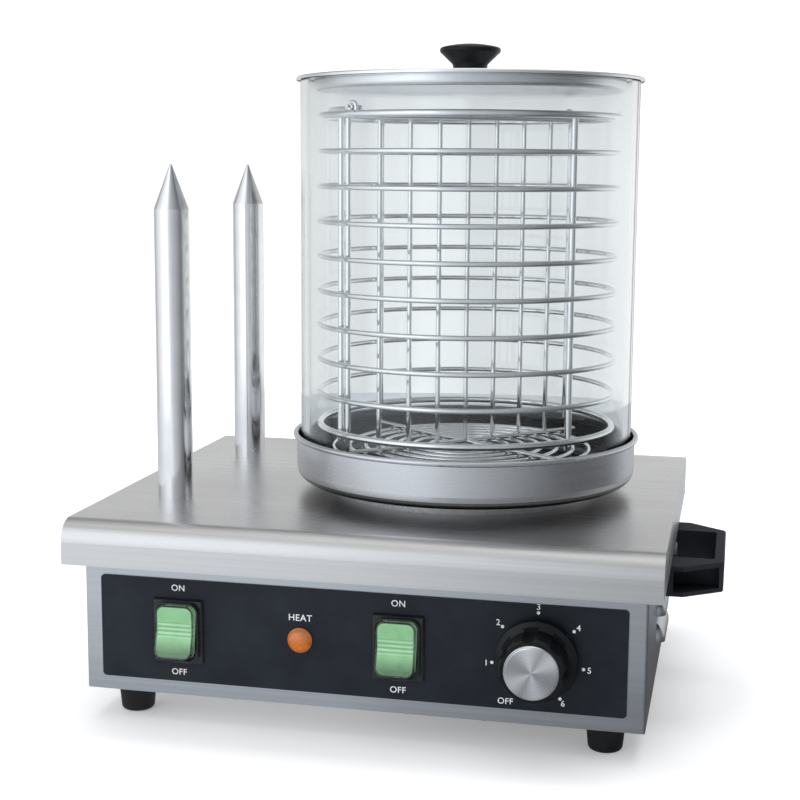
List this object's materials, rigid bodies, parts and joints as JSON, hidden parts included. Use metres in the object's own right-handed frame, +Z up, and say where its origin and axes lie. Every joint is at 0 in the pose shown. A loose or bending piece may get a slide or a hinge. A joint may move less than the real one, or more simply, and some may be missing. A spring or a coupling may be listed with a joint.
{
  "type": "hot dog steamer",
  "caption": "Countertop hot dog steamer: steel base with control panel, heated bun spikes, water pan, glass cylinder, lid and wire basket.",
  "frame": {"origin": "on the resting surface, below the middle of the top cover", "axes": "+Z up, +X to the operator's right, -Y towards the operator (the control panel faces -Y)"},
  "size_m": [0.3852, 0.3048, 0.3805],
  "materials": {
    "brushed_steel": "brushed",
    "spun_steel": "satin",
    "steel_wire": "polished",
    "panel_print": "matte",
    "black_plastic": "satin",
    "switch_black": "satin",
    "green_lens": "gloss",
    "clear_boot": "clear",
    "amber_lens": "gloss",
    "aluminium": "polished",
    "cast_aluminium": "as cast",
    "zinc_steel": "satin",
    "heater_sheath": "matte",
    "glass": "clear",
    "rubber": "matte",
    "ceramic": "matte",
    "copper_tube": "satin",
    "wire_sleeve": "matte",
    "brass": "satin"
  },
  "bodies": {
    "base": {"housing": "brushed_steel", "top_cover": "brushed_steel", "bottom_plate": "zinc_steel", "feet": "rubber", "foot_screws": "zinc_steel", "foot_nuts": "zinc_steel", "bottom_screws": "zinc_steel", "cover_nuts": "zinc_steel", "control_panel": "panel_print", "left_switch_body": "switch_black", "right_switch_body": "switch_black", "pilot_lamp_lens": "amber_lens", "pilot_lamp_body": "switch_black", "pilot_lamp_nut": "switch_black", "thermostat_body": "zinc_steel", "thermostat_screws": "zinc_steel", "heating_plate": "cast_aluminium", "heating_element": "heater_sheath", "reflector_tray": "zinc_steel", "heating_plate_nuts": "zinc_steel", "thermostat_bulb": "copper_tube", "thermostat_capillary": "copper_tube", "front_spike": "aluminium", "back_spike": "aluminium", "spike_heaters": "heater_sheath", "spike_washers": "zinc_steel", "spike_nuts": "zinc_steel", "right_handle": "black_plastic", "left_handle": "black_plastic", "handle_screws": "zinc_steel", "handle_nuts": "zinc_steel", "cable_gland": "black_plastic", "gland_nut": "black_plastic", "terminal_block": "ceramic", "earth_stud": "brass", "wiring": "wire_sleeve"},
    "pan": {"water_pan": "spun_steel"},
    "basket": {"basket_hoops": "steel_wire", "basket_posts": "steel_wire", "basket_divider": "steel_wire", "basket_grid": "steel_wire", "basket_grid_bars": "steel_wire", "basket_legs": "steel_wire", "bail_staples": "steel_wire"},
    "bail": {"bail_handle": "steel_wire"},
    "glass": {"glass_cylinder": "glass"},
    "lid": {"lid": "spun_steel", "lid_knob": "black_plastic", "lid_knob_stud": "zinc_steel"},
    "knob": {"thermostat_knob": "black_plastic", "knob_cap": "aluminium", "thermostat_shaft": "zinc_steel"},
    "left_rocker": {"left_rocker": "green_lens", "left_switch_boot": "clear_boot"},
    "right_rocker": {"right_rocker": "green_lens", "right_switch_boot": "clear_boot"}
  },
  "joints": [
    {"name": "pan_lift", "type": "slide", "parent": "base", "child": "pan", "axis": [0, 0, 1], "range_m": [0, 0.3]},
    {"name": "basket_lift", "type": "slide", "parent": "pan", "child": "basket", "axis": [0, 0, 1], "range_m": [0, 0.3]},
    {"name": "glass_lift", "type": "slide", "parent": "basket", "child": "glass", "axis": [0, 0, 1], "range_m": [0, 0.26]},
    {"name": "lid_lift", "type": "slide", "parent": "glass", "child": "lid", "axis": [0, 0, 1], "range_m": [0, 0.16]},
    {"name": "bail_hinge", "type": "hinge", "parent": "basket", "child": "bail", "pos_m": [0.0346, 0.0093, 0.3413], "axis": [0.5878, 0.809, 0], "range_deg": [0, 90]},
    {"name": "knob_turn", "type": "hinge", "parent": "base", "child": "knob", "pos_m": [0.09905, -0.1264, 0.0542], "axis": [0, 1, 0], "range_deg": [-65, 235]},
    {"name": "left_rocker_tilt", "type": "hinge", "parent": "base", "child": "left_rocker", "pos_m": [-0.1007, -0.1264, 0.0542], "axis": [1, 0, 0], "range_deg": [0, 16]},
    {"name": "right_rocker_tilt", "type": "hinge", "parent": "base", "child": "right_rocker", "pos_m": [0.0239, -0.1264, 0.0542], "axis": [1, 0, 0], "range_deg": [0, 16]}
  ],
  "couplings": [
    {"joint": "bail_hinge", "follows": "lid_lift", "rad_per_m": 9.8}
  ]
}
